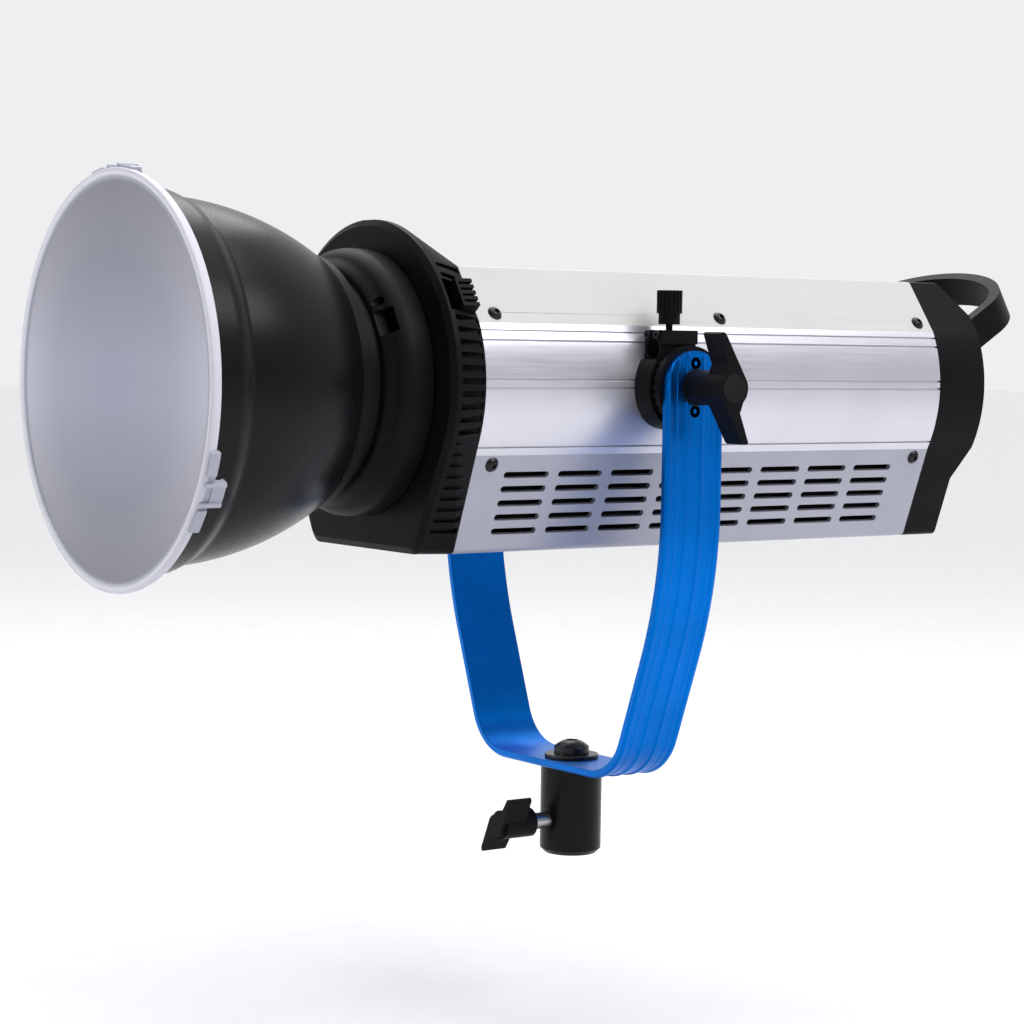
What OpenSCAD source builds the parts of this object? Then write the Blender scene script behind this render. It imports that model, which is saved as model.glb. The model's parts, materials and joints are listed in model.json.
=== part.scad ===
// Monolight with a bayonet bowl reflector, a clip-on frosted cover and a tilting yoke.
// Millimetres. +Z up, light leaves towards -Y, the tilt axis runs along X.
// The origin is the centre of the mouth of the stand socket.

/* [Yoke and socket] */
// Height of the tilt axis above the mouth of the stand socket
pivot_z = 230; // [224:1:240]
// Outer half width of the yoke at the tilt axis
yoke_half = 90; // [89:0.5:91]
// Width of the yoke strap, front to back
strap_w = 33.4; // [31:0.2:35]
// Thickness of the yoke strap
strap_t = 3.2; // [3:0.1:3.6]
// Outer diameter of the stand socket
socket_d = 30; // [28:1:32]
// Height of the stand socket
socket_h = 43.5; // [42:0.5:46]
// Bore of the stand socket, for a 16 mm stud
socket_bore_d = 16.4; // [16.2:0.1:16.6]
// Depth of the stand socket bore
socket_bore_depth = 34; // [30:1:36]

/* [Housing] */
// Length of the extruded housing between its two end caps
shell_len = 278.5; // [276:0.5:280]
// Distance from the tilt axis forward to the front of the extruded housing
shell_fore = 103; // [102:0.5:104]
// Wall of the covers and the side extrusions
wall = 2.4; // [2.2:0.1:2.6]
// Depth of the front bezel
bezel_deep = 19.8; // [19:0.2:20]
// Radius of the arch of the front bezel
bezel_r = 74.5; // [74:0.1:75]
// Depth of the straight part of the rear cover
rear_deep = 22.5; // [22:0.5:23]
// Depth of the slanted back of the rear cover
rear_rise = 9; // [8:0.5:10]

/* [Vents] */
// Number of vent slots in a row
vent_cols = 8; // [6:1:8]
// Number of rows of vent slots on a side
vent_rows = 5; // [3:1:5]
// Length of a vent slot
vent_len = 25; // [20:1:26]
// Height of a vent slot
vent_h = 3.1; // [2.1:0.2:3.3]

/* [Reflector] */
// Radius of the frosted cover
cover_r = 91.5; // [91:0.5:92.5]
// Distance from the front of the housing to the face of the frosted cover
cover_fore = 148.4; // [148:0.1:149]
// Wall of the reflector
bowl_wall = 1.6; // [1.4:0.1:2]
// Radius of the rolled mounting flange of the reflector
flange_r = 61.2; // [60:0.2:62]

/* [Fasteners] */
// Head diameter of the housing screws
screw_head_d = 7; // [6.6:0.1:7.6]
// Thread diameter of the housing screws
screw_d = 4; // [3.6:0.1:4]
// Diameter of the tilt axle
axle_d = 8; // [7:0.5:8]

/* [Hidden] */
round_fn = 96;

// Yoke strap: two arcs joined by their common tangent, then a straight upright.
yoke_base_z = socket_h;
corner_r = 28;
corner_x = 35;
bow_r = 210;
bow_drop = 53.5;
corner_c = [corner_x, yoke_base_z + corner_r];
bow_c = [yoke_half - bow_r, pivot_z - bow_drop];
arc_gap = bow_c - corner_c;
tangent_a = atan2(arc_gap[1], arc_gap[0]) - acos((corner_r - bow_r) / norm(arc_gap));
strap_in = yoke_half - strap_t;
washer_t = 2;
ring_screw_z = 11;

// Housing section about the optical axis.
side_r = 66.4;
side_c = [4, 0.4];
facet_foot = on_side([64.3, 28]);
facet_head = [46.6, 52.9];
top_z = 53.3;
sill_head = on_side([62.1, -31.2]);
foot_c = [43.6, -73];
foot_r = 3.4;
foot_a = -15;
base_z = -76.4;
shell_y0 = -shell_fore;
shell_y1 = shell_y0 + shell_len;
bezel_y = shell_y0 - bezel_deep;
rear_y = shell_y1 + rear_deep;
back_y = rear_y + rear_rise;
cover_y = shell_y0 - cover_fore;
panel_half = [43, 41];
panel_t = 2.5;
bore_r = 52;

// Screw stations along the housing.
screw_y = [shell_y0 + 10.2, shell_y0 + shell_len / 2 + 1.2, shell_y1 - 8.4];

function mirror_pts(p) = concat(p, [for (i = [len(p) - 1:-1:0]) [-p[i][0], p[i][1]]]);
function arc_pts(c, r, a0, a1, n) =
    [for (i = [0:n]) c + r * [cos(a0 + (a1 - a0) * i / n), sin(a0 + (a1 - a0) * i / n)]];
// Point of the line through q along d at height z.
function at_height(q, d, z) = q + d * (z - q[1]) / d[1];
function unit(v) = v / norm(v);
// Point of the side's arc in the direction of p.
function on_side(p) = side_c + side_r * unit(p - side_c);
function side_angle(p) = atan2(p[1] - side_c[1], p[0] - side_c[0]);
function section_pts() = mirror_pts(concat(
    [[facet_head[0] - 3.2, top_z]], [facet_head],
    arc_pts(side_c, side_r, side_angle(facet_foot), side_angle(sill_head), 16),
    arc_pts(foot_c, foot_r, foot_a, -90, 5)));
// The section with sharp corners, for deep insets.
function plain_pts() = mirror_pts(concat(
    [at_height(facet_head, facet_foot - facet_head, top_z)],
    arc_pts(side_c, side_r, side_angle(facet_foot), side_angle(sill_head), 12),
    [at_height(sill_head, sill_dir, base_z)]));
function inset_pts(p, d) = [for (i = [0:len(p) - 1]) let (
    a = p[(i + len(p) - 1) % len(p)], b = p[i], c = p[(i + 1) % len(p)],
    u = unit(b - a), v = unit(c - b),
    nu = [u[1], -u[0]], nv = [v[1], -v[0]], m = nu + nv)
    b + m * d / (m * nu)];
function bezel_pts(k) = mirror_pts(concat(
    [for (p = arc_pts([0, 0], bezel_r, 90 - 90 / 24, -18, 26)) p * k],
    [for (p = arc_pts([40.5, -69.2], 7, -25, -90, 6)) p * k]));

// Extrudes a drawing of the X-Z plane from y0 to y1.
module along_y(y0, y1) translate([0, y1, 0]) rotate([90, 0, 0]) linear_extrude(y1 - y0) children();
module rod_y(r, y0, y1, fn = round_fn) translate([0, y1, 0]) rotate([90, 0, 0])
    cylinder(r = r, h = y1 - y0, $fn = fn);
module rod_x(r, x0, x1, fn = round_fn) translate([x0, 0, 0]) rotate([0, 90, 0])
    cylinder(r = r, h = x1 - x0, $fn = fn);
module at_head() translate([0, 0, pivot_z]) children();
module both_sides() { children(); mirror([1, 0, 0]) children(); }
module ring_y(r1, r0, y0, y1) difference() {
    rod_y(r1, y0, y1);
    rod_y(r0, y0 - 1, y1 + 1);
}

// ---- Yoke and stand socket ----

// Right half of the strap's outer face, moved outwards by o.
function strap_path(o) = concat(
    arc_pts(corner_c, corner_r + o, -90, tangent_a, 20),
    arc_pts(bow_c, bow_r + o, tangent_a, 0, 20),
    [[yoke_half + o, pivot_z + strap_w / 2]]);

// Closed drawing of the strap, from t_in inside its outer face to t_out outside it.
function strap_pts(t_out, t_in) = let (inner = strap_path(-t_in))
    mirror_pts(concat(strap_path(t_out), [for (i = [len(inner) - 1:-1:0]) inner[i]]));

module strap_at(y, w, t_out, t_in) along_y(y - w / 2, y + w / 2) polygon(strap_pts(t_out, t_in));

rib_proud = 0.7;
rib_w = 2;
rib_root = 1;
rib_y = [for (f = [-0.44, -0.13, 0.13, 0.44]) f * strap_w];

module yoke() color("royalblue") difference() {
    intersection() {
        union() {
            strap_at(0, strap_w, 0, strap_t);
            for (y = rib_y) strap_at(y, rib_w, rib_proud, rib_root);
        }
        rotate([90, 0, 90]) linear_extrude(4 * yoke_half, center = true) union() {
            translate([0, pivot_z]) circle(d = strap_w, $fn = round_fn);
            translate([-strap_w / 2, 0]) square([strap_w, pivot_z]);
        }
    }
    at_head() rod_x(axle_d / 2 + 0.05, -2 * yoke_half, 2 * yoke_half);
    both_sides() at_ring_screws() flush_screw();
    translate([0, 0, yoke_base_z - 1]) cylinder(d = 10, h = strap_t + 3, $fn = 48);
}

ring_screw_r = 1.6;

// Places children at the ring screws of the +X arm, +Z pointing into the arm.
module at_ring_screws() for (z = [-1, 1])
    translate([yoke_half, 0, pivot_z + z * ring_screw_z]) rotate([0, -90, 0]) children();

// Screw with a countersunk head, flush with the plane z = 0.
module flush_screw() {
    cylinder(r1 = 2.9, r2 = ring_screw_r, h = 1.3, $fn = 32);
    cylinder(r = ring_screw_r, h = strap_t + 2.5, $fn = 32);
}

// Countersunk screws that hold the pivot rings to the arms.
module yoke_screws() color("dimgray") both_sides() at_ring_screws() difference() {
    flush_screw();
    translate([0, 0, -1]) cylinder(r = 1.1, h = 1.8, $fn = 6);
}

ring_r = 19;
ring_x0 = 83.6;
teeth = 30;
tooth_h = 1.1;

// Ring of square teeth on an X face, drawn from x towards +X.
module tooth_ring(x, h) for (i = [0:teeth - 1]) rotate([i * 360 / teeth, 0, 0])
    translate([x, ring_r - 4, -1]) cube([h, 3.8, 2]);

module pivot_ring() difference() {
    rod_x(ring_r, ring_x0, strap_in);
    rod_x(axle_d / 2 + 0.05, 0, 100);
    for (z = [-1, 1]) translate([0, 0, z * ring_screw_z]) rod_x(ring_screw_r, 0, 100, 32);
}

module yoke_rosette() color([0.13, 0.13, 0.14]) at_head() {
    pivot_ring();
    tooth_ring(ring_x0 - tooth_h, tooth_h + 0.5);
}

module far_pivot_ring() color([0.13, 0.13, 0.14]) at_head() mirror([1, 0, 0]) pivot_ring();

module stand_socket() color([0.12, 0.12, 0.13]) difference() {
    rotate_extrude($fn = round_fn) polygon([[0, 0], [socket_d / 2 - 2.4, 0],
        [socket_d / 2, 2.4], [socket_d / 2, socket_h - rib_proud], [0, socket_h - rib_proud]]);
    translate([0, 0, -1]) cylinder(d = socket_bore_d, h = socket_bore_depth + 1,
        $fn = round_fn);
    translate([0, 0, socket_bore_depth - 1]) cylinder(d = 10, h = socket_h, $fn = 48);
    translate([0, 0, clamp_z]) rod_y(clamp_r + 0.05, -socket_d, 0, 48);
}

module socket_bolt() color([0.1, 0.1, 0.1]) translate([0, 0, yoke_base_z + strap_t + washer_t]) {
    translate([0, 0, -12]) cylinder(d = 10, h = 12, $fn = 48);
    difference() {
        rotate_extrude($fn = 64) intersection() {
            translate([0, -5.2]) circle(r = 12.2, $fn = 96);
            square([8.6, 8]);
        }
        translate([0, 0, 3.6]) cylinder(r = 3.4, h = 6, $fn = 6);
    }
}

module socket_washer() color([0.16, 0.16, 0.17]) translate([0, 0, yoke_base_z + strap_t])
    difference() {
        cylinder(r = 13.2, h = washer_t, $fn = 64);
        translate([0, 0, -1]) cylinder(d = 10, h = washer_t + 2, $fn = 48);
    }

// ---- Levers: a round hub with two swept wings ----

// The wings' outline; k scales it about the hub's axis.
module lever_outline(k) {
    circle(r = 8.1 * k, $fn = 64);
    for (a = [0, 180]) rotate(a) polygon([for (p = [[0, 0], [7.4, 3.4], [-5.2, 24.4],
        [-6.4, 25.3], [-8, 25.3], [-8.8, 24.4], [-3.6, 11], [-5.5, 6]]) p * k]);
}

lever_x0 = yoke_half + rib_proud + 1;
lever_wing_x = 105.5;
lever_x1 = 117.5;

module tilt_lever() color([0.13, 0.13, 0.14]) at_head() difference() {
    rotate([0, 90, 0]) union() {
        translate([0, 0, lever_x0]) cylinder(r = 8.1, h = lever_x1 - lever_x0, $fn = 64);
        translate([0, 0, lever_wing_x]) linear_extrude(lever_x1 - lever_wing_x)
            rotate(90) lever_outline(1);
    }
    rod_x(axle_d / 2 + 0.05, 0, lever_x1 - 4);
    rod_x(6.5, lever_x1 - 1, lever_x1 + 1, 64);
}

module tilt_lever_cap() color([0.2, 0.2, 0.21]) at_head()
    rod_x(6.5, lever_x1 - 1, lever_x1 + 0.3, 64);

module lever_washer() color("silver") at_head() difference() {
    rod_x(8.6, yoke_half + rib_proud, lever_x0 - 0.1, 64);
    rod_x(axle_d / 2 + 0.05, 0, 200);
}

clamp_z = 17;
clamp_r = 4;
clamp_y0 = -25;
clamp_wing_y = -32;
clamp_y1 = -45.5;
clamp_a = -55;
clamp_k = 0.66;

module clamp_wing() color([0.11, 0.11, 0.12]) translate([0, 0, clamp_z]) difference() {
    union() {
        rod_y(7, clamp_y1 + 3, clamp_y0, 64);
        along_y(clamp_y1, clamp_wing_y) rotate(clamp_a) lever_outline(clamp_k);
    }
    rod_y(clamp_r, clamp_y1 + 5, 0, 48);
}

module clamp_stud() color("silver") translate([0, 0, clamp_z])
    rod_y(clamp_r, clamp_y1 + 5, -socket_bore_d / 2 - 0.4, 48);

// ---- Pivot parts on the head ----

block = [[69.6, -13.7, 0], [82.5, 7, 26]];
umbrella_x = 75.4;
umbrella_z = 17.5;
umbrella_r = 4.5;
thumb_x = umbrella_x - 0.2;
thumb_y = -4.2;
boss_x = 82;

module box(lo, hi) translate(lo) cube(hi - lo);

// What is left of a shape outside the curved side of the housing.
module outside_side() difference() {
    children();
    translate([side_c[0], 0, side_c[1]]) rod_y(side_r, -60, 60, round_fn * 2);
}

module umbrella_bracket() color([0.14, 0.14, 0.15]) at_head() difference() {
    outside_side() {
        difference() {
            rod_x(20, 60, boss_x - 0.9);
            box([60, -30, 12.5], [90, block[0][1], 30]);
            box([60, block[1][1], 12.5], [90, 30, 30]);
        }
        box(block[0], [boss_x - 0.9, block[1][1], block[1][2]]);
        box([block[0][0], block[0][1], ring_r + 0.6], block[1]);
        tooth_ring(boss_x - 1.4, 1.4);
    }
    rod_x(axle_d / 2, 0, 100);
    translate([umbrella_x, 0, umbrella_z]) rod_y(umbrella_r, -40, 40, 64);
    translate([thumb_x, thumb_y, 15]) cylinder(r = 1.65, h = 20, $fn = 32);
    for (x = [-3.4, 3.4]) translate([thumb_x + x, 0, 23.9])
        rod_y(1.2, block[0][1] - 1, block[0][1] + 6, 24);
}

module bracket_screws() color("silver") at_head() for (x = [-3.4, 3.4])
    translate([thumb_x + x, 0, 23.9]) {
        rod_y(1.2, block[0][1], block[0][1] + 6, 24);
        difference() {
            rod_y(2, block[0][1] - 1, block[0][1], 32);
            rod_y(1, block[0][1] - 2, block[0][1] - 0.4, 6);
        }
    }

module umbrella_thumbscrew() color([0.15, 0.15, 0.16]) at_head() translate([thumb_x, thumb_y, 0]) {
    translate([0, 0, umbrella_z + umbrella_r]) cylinder(r = 1.6, h = 8, $fn = 32);
    translate([0, 0, 28.7]) cylinder(r = 5, h = 5, $fn = 64);
    difference() {
        translate([0, 0, 33.7]) cylinder(r = 5.9, h = 10.6, $fn = 64);
        for (i = [0:17]) rotate(i * 20) translate([5.5, -0.4, 34.6]) cube([1, 0.8, 12]);
    }
}

module far_pivot_boss() color([0.14, 0.14, 0.15]) at_head() mirror([1, 0, 0]) difference() {
    outside_side() rod_x(20, 60, boss_x);
    rod_x(axle_d / 2, 0, 100);
}

plate_x = 60;

module axle_near() color("silver") at_head() rod_x(axle_d / 2, plate_x, lever_x1 - 4.3);

module axle_far() color([0.1, 0.1, 0.1]) at_head() mirror([1, 0, 0]) {
    rod_x(axle_d / 2, plate_x, yoke_half + rib_proud + 0.3);
    difference() {
        rod_x(9, yoke_half + rib_proud + 0.3, yoke_half + 6, 64);
        rod_x(3.5, yoke_half + 3, yoke_half + 7, 6);
    }
}

module pivot_plates() color("silver") at_head() both_sides() difference() {
    intersection() {
        box([plate_x, -24, -19], [80, 24, 19]);
        translate([side_c[0], 0, side_c[1]]) rod_y(side_r - wall - 0.05, -60, 60, round_fn * 2);
    }
    rod_x(axle_d / 2, 0, 100);
}

// ---- Housing ----

module shell_2d() difference() {
    polygon(section_pts());
    polygon(inset_pts(section_pts(), wall));
}

facet_dir = unit(facet_head - facet_foot);
sill_dir = unit(arc_pts(foot_c, foot_r, foot_a, foot_a, 1)[0] - sill_head);
facet_in = [-facet_dir[1], facet_dir[0]];
sill_in = [sill_dir[1], -sill_dir[0]];
lip_t = 3;
lip_len = 7.6;

// Drawing of a side extrusion: the curved wall with an inner lip behind each cover.
function side_pts() = concat(
    arc_pts(side_c, side_r, side_angle(facet_foot), side_angle(sill_head), 16),
    [at_height(sill_head + sill_in * wall, sill_dir, sill_head[1]),
        sill_head + sill_in * wall + sill_dir * lip_len,
        sill_head + sill_in * (wall + lip_t) + sill_dir * lip_len,
        sill_head + sill_in * (wall + lip_t), sill_head + [-5.2, 5]],
    arc_pts(side_c, side_r - wall, -24, 19, 12),
    [facet_foot + [-5.4, -5], facet_foot + facet_in * (wall + lip_t),
        facet_foot + facet_in * (wall + lip_t) + facet_dir * lip_len,
        facet_foot + facet_in * wall + facet_dir * lip_len,
        at_height(facet_foot + facet_in * wall, facet_dir, facet_foot[1])]);

groove_z = [24.6, 20.2, 2.9, -0.8, -27.6];
groove_w = 0.9;
groove_deep = 0.9;

// Hairline groove along the curved side at height z.
module groove(z) {
    a = asin((z - side_c[1]) / side_r);
    p = side_c + (side_r - groove_deep) * [cos(a), sin(a)];
    translate([p[0], 0, p[1]]) rotate([0, -a, 0])
        box([0, shell_y0 - 1, -groove_w / 2], [3, shell_y1 + 1, groove_w / 2]);
}

screw_s = 5;
facet_screw = facet_foot + facet_dir * screw_s;
sill_screw = sill_head + sill_dir * (screw_s - 0.6);

// Places children at each cover screw of the +X side, +Z pointing out of the housing.
module at_screws() for (y = screw_y) {
    translate([facet_screw[0], y, facet_screw[1]])
        rotate([0, atan2(-facet_in[0], -facet_in[1]), 0]) children();
    translate([sill_screw[0], y, sill_screw[1]])
        rotate([0, atan2(-sill_in[0], -sill_in[1]), 0]) children();
}

module screw_holes() both_sides() at_screws()
    translate([0, 0, -12]) cylinder(d = screw_d, h = 20, $fn = 32);

module side_extrusion() difference() {
    along_y(shell_y0, shell_y1) polygon(side_pts());
    for (z = groove_z) groove(z);
    rod_x(axle_d / 2, 0, 100);
    screw_holes();
}

module side_near() color([0.78, 0.78, 0.8]) at_head() side_extrusion();

module side_far() color([0.78, 0.78, 0.8]) at_head() mirror([1, 0, 0]) side_extrusion();

module top_cover() color([0.9, 0.89, 0.86]) at_head() difference() {
    along_y(shell_y0, shell_y1) intersection() {
        shell_2d();
        translate([-100, facet_foot[1]]) square([200, 60]);
    }
    screw_holes();
}

vent_pitch_y = (shell_len - 35) / vent_cols;
vent_pitch = 6.95;
vent_s0 = 9.6;

module slot(len, h) {
    square([len - h, h], center = true);
    for (x = [-1, 1]) translate([x * (len - h) / 2, 0]) circle(d = h, $fn = 24);
}

module vents() both_sides() for (i = [0:vent_cols - 1], j = [0:vent_rows - 1])
    let (p = sill_head + sill_dir * (vent_s0 + j * vent_pitch))
    translate([p[0], shell_y0 + 18.1 + vent_len / 2 + i * vent_pitch_y, p[1]])
        rotate([0, atan2(-sill_in[0], -sill_in[1]), 0]) rotate(90)
            translate([0, 0, -4]) linear_extrude(8) slot(vent_len, vent_h);

module bottom_cover() color([0.72, 0.73, 0.74]) at_head() difference() {
    along_y(shell_y0, shell_y1) intersection() {
        shell_2d();
        translate([-100, -100]) square([200, 100 + sill_head[1]]);
    }
    screw_holes();
    vents();
}

module button_screw() {
    translate([0, 0, -8]) cylinder(d = screw_d, h = 8, $fn = 32);
    difference() {
        rotate_extrude($fn = 48) intersection() {
            translate([0, -1.9]) circle(r = 4, $fn = 64);
            square([screw_head_d / 2, 3]);
        }
        translate([0, 0, 0.9]) cylinder(r = 1.3, h = 3, $fn = 6);
    }
}

module shell_screws() color([0.2, 0.2, 0.2]) at_head() both_sides() at_screws() button_screw();

// ---- Front bezel and bayonet ----

latch_a = 33;
window_y0 = bezel_y + 3.4;
window_y1 = shell_y0 - 1.2;

// Frame of the release latch: +X outward, Z along the arch.
module at_latch() rotate([0, -latch_a, 0]) children();

slot_half = 1.35;
slot_step = 4.46;
flank_slots = 9;
flank_pitch = 5.6;
flank_top = [70.5, -25.1];
flank_a = -26.05;

module bezel_shape() {
    hull() {
        along_y(bezel_y, bezel_y + 0.1) polygon(bezel_pts(0.962));
        along_y(bezel_y + 2, bezel_y + 5) polygon(bezel_pts(1));
    }
    hull() {
        along_y(bezel_y + 4, bezel_y + 5) polygon(bezel_pts(1));
        along_y(shell_y0 - 0.6, shell_y0) polygon(section_pts());
    }
}

module front_bezel() color([0.15, 0.15, 0.16]) at_head() difference() {
    bezel_shape();
    rod_y(bore_r + 3, bezel_y - 1, 0);
    difference() {
        along_y(bezel_y + 4, shell_y0 + 1) polygon(inset_pts(section_pts(), 3));
        rod_y(bore_r + 6, bezel_y, 0);
    }
    both_sides() {
        for (a = [46, 41.2]) grip_groove(a, 68.2);
        for (i = [0:9]) grip_groove(24 - i * slot_step, 69.8);
        for (i = [0:flank_slots - 1]) low_groove(i);
    }
    mirror([1, 0, 0]) for (i = [1:3]) grip_groove(24 + i * slot_step, 69.8);
    at_latch() {
        box([67, window_y0, -8], [90, window_y1, 8]);
        box([58.5, window_y0, -3.6], [90, window_y1, 3.6]);
    }
}

// Short horizontal groove in the side of the bezel at angle a, its floor at radius r.
module grip_groove(a, r) rotate([0, -a, 0])
    box([r, bezel_y + 4.6, -slot_half], [90, shell_y0 - 1.2, slot_half]);

// The same on the straight lower flank, i steps down.
module low_groove(i) {
    p = flank_top + i * flank_pitch * [sin(flank_a), -cos(flank_a)];
    translate([p[0], 0, p[1]]) rotate([0, -flank_a, 0])
        box([-1.8, bezel_y + 4.6, -slot_half], [20, shell_y0 - 1.2, slot_half]);
}

ring_y0 = bezel_y - 3.2;
lip_r = 46.8;
lug_r = 49.4;
lug_y0 = ring_y0 + 2.8;
lug_t = 2.4;
lug_deg = 26;
slot_deg = 32;
lug_offset = 31;

// Wedge of a disc about the optical axis, centred on angle a.
module wedge_y(r, w, y0, y1) for (k = [0:2]) rotate([0, -k * 120, 0]) along_y(y0, y1)
    polygon([[0, 0], r * [cos(w / 2), -sin(w / 2)], r * 1.06 * [cos(w / 4), -sin(w / 4)],
        r * 1.06 * [cos(w / 4), sin(w / 4)], r * [cos(w / 2), sin(w / 2)]]);

module bayonet_ring() color([0.62, 0.63, 0.65]) at_head() difference() {
    rod_y(bore_r + 3, ring_y0, shell_y0);
    rod_y(lip_r, ring_y0 - 1, shell_y0 + 1);
    rod_y(lug_r + 0.4, lug_y0 - 0.3, shell_y0 + 1);
    intersection() {
        rod_y(lug_r + 0.4, ring_y0 - 1, lug_y0);
        wedge_y(60, slot_deg, ring_y0 - 1, lug_y0);
    }
    for (a = [90, 210, 330]) rotate([0, -a, 0]) translate([bore_r - 0.4, 0, 0]) {
        rod_y(1.25, ring_y0 - 1, ring_y0 + 8, 24);
        rod_y(2.2, ring_y0 - 1, ring_y0 + 1.2, 32);
    }
}

module ring_screws() color([0.2, 0.2, 0.2]) at_head() for (a = [90, 210, 330])
    rotate([0, -a, 0]) translate([bore_r - 0.4, 0, 0]) difference() {
        union() {
            rod_y(1.25, ring_y0, ring_y0 + 8, 24);
            rod_y(2.2, ring_y0 + 0.1, ring_y0 + 1.2, 32);
        }
        rod_y(1, ring_y0, ring_y0 + 0.8, 6);
    }

grip_y0 = window_y1 - 9.4;
grip_y1 = window_y1 - 0.4;
grip_r = 74;

module latch_button() color([0.12, 0.12, 0.12]) at_head() at_latch() {
    box([67.5, grip_y0, -7.4], [grip_r, grip_y1, 7.4]);
    box([grip_r - 0.1, grip_y0, -7.4], [grip_r + 2, grip_y0 + 1.4, 7.4]);
    for (i = [-2:2]) box([grip_r - 0.1, grip_y0 + 1.3, i * 3.1 - 0.9],
        [grip_r + 2, grip_y1, i * 3.1 + 0.9]);
}

module latch_pin() color("silver") at_head() at_latch()
    box([59.5, grip_y0 + 1, -2.8], [67.5, grip_y1 - 1, 2.8]);

// ---- Lamp inside ----

sink_y0 = shell_y0 + 5;
sink_base = 8;
sink_w = 92;
sink_len = 74;
led_y = sink_y0 - 8;

module led_mount() color([0.14, 0.14, 0.14]) at_head() difference() {
    rod_y(43, led_y - 8, sink_y0);
    rod_y(36, led_y - 9, sink_y0 + 1);
    rod_y(40, led_y - 9, led_y - 6);
}

module led_board() color([0.85, 0.86, 0.88]) at_head()
    box([-19, led_y - 2, -19], [19, led_y, 19]);

module led_emitter() color([0.95, 0.8, 0.25]) at_head() rod_y(14.5, led_y - 3.2, led_y - 2);

module led_glass() color([0.8, 0.9, 0.95, 0.4]) at_head() rod_y(39.9, led_y - 8, led_y - 6);

pipe_y = [sink_y0 + 22, sink_y0 + 52];
pipe_z = [-24, 24];

module pipes_at() for (y = pipe_y, z = pipe_z) translate([0, y, z]) children();

module heat_sink() color([0.7, 0.71, 0.72]) at_head() difference() {
    union() {
        box([-sink_w / 2, sink_y0, -42], [sink_w / 2, sink_y0 + sink_base, 42]);
        box([-22, led_y, -22], [22, sink_y0, 22]);
        for (i = [-6:6]) box([i * 7 - 0.6, sink_y0 + sink_base, -42],
            [i * 7 + 0.6, sink_y0 + sink_len, 42]);
    }
    pipes_at() rod_x(3, -50, 50, 32);
}

module heat_pipes() color([0.75, 0.42, 0.25]) at_head() pipes_at() rod_x(3, -46, 46, 32);

fan_y0 = sink_y0 + sink_len;
fan_deep = 25;

module fan_frame() color([0.12, 0.12, 0.12]) at_head() difference() {
    union() {
        difference() {
            box([-42, fan_y0, -42], [42, fan_y0 + fan_deep, 42]);
            rod_y(38, fan_y0 - 1, fan_y0 + fan_deep + 1);
        }
        rod_y(15, fan_y0 + fan_deep - 4, fan_y0 + fan_deep);
        for (a = [45, 135]) rotate([0, a, 0])
            box([-40, fan_y0 + fan_deep - 4, -2], [40, fan_y0 + fan_deep, 2]);
    }
    rod_y(1.55, fan_y0 + fan_deep - 5, fan_y0 + fan_deep + 1, 32);
    for (x = [-37, 37], z = [-37, 37]) translate([x, 0, z])
        rod_y(2.1, fan_y0 - 1, fan_y0 + fan_deep + 1, 24);
}

module fan_rotor() color([0.2, 0.2, 0.21]) at_head() {
    rod_y(15, fan_y0 + 2, fan_y0 + fan_deep - 5);
    rod_y(1.5, fan_y0 + fan_deep - 5, fan_y0 + fan_deep - 0.5, 32);
    for (a = [0:6]) rotate([0, a * 360 / 7, 0]) translate([0, fan_y0 + 11, 0])
        rotate([38, 0, 0]) box([13, -0.8, -9.5], [35.5, 0.8, 9.5]);
}

tray_z = base_z + wall;
tray_t = 2;
tray_y1 = shell_y1 - 8;

module chassis_tray() color([0.6, 0.61, 0.62]) at_head() {
    box([-42, shell_y0 + 4, tray_z], [42, tray_y1, tray_z + tray_t]);
    for (y = [sink_y0, fan_y0]) box([-40, y, tray_z], [40, y + 6, -42]);
    for (x = [-34, 34], y = [45, 150]) translate([x, y, tray_z]) cylinder(r = 3, h = 8, $fn = 32);
}

board_z = tray_z + 8;

module driver_board() color([0.1, 0.35, 0.18]) at_head()
    box([-38, 38, board_z], [38, 157, board_z + 1.6]);

module driver_parts() color([0.25, 0.25, 0.3]) at_head() translate([0, 0, board_z + 1.6]) {
    for (i = [0:2]) translate([-24 + i * 20, 52, 0]) cylinder(r = 8, h = 28, $fn = 48);
    box([-28, 72, 0], [6, 102, 24]);
    translate([22, 88, 0]) difference() {
        cylinder(r = 13, h = 12, $fn = 64);
        translate([0, 0, -1]) cylinder(r = 5.5, h = 14, $fn = 48);
    }
    box([-32, 112, 0], [32, 116, 22]);
    for (i = [0:3]) translate([-24 + i * 16, 134, 0]) cylinder(r = 5, h = 14, $fn = 32);
}

// ---- Rear cover, panel and controls ----

// The back face and the slants above and below it, as heights.
back_top = 36.5;
back_foot = -31;
slant_foot = -47;
pad_half = 44.5;
pad_foot = -48.5;
pad_head = 36;
pad_proud = 0.3;
rim = 4;

// Side view of the rear cover.
module rear_profile() rotate([90, 0, 90]) linear_extrude(200, center = true) polygon([
    [shell_y1, -90], [rear_y, -90], [rear_y, slant_foot], [back_y, back_foot],
    [back_y, back_top], [rear_y - 3.4, top_z], [rear_y - 3.4, 90], [shell_y1, 90]]);

panel_z = -6;

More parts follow.
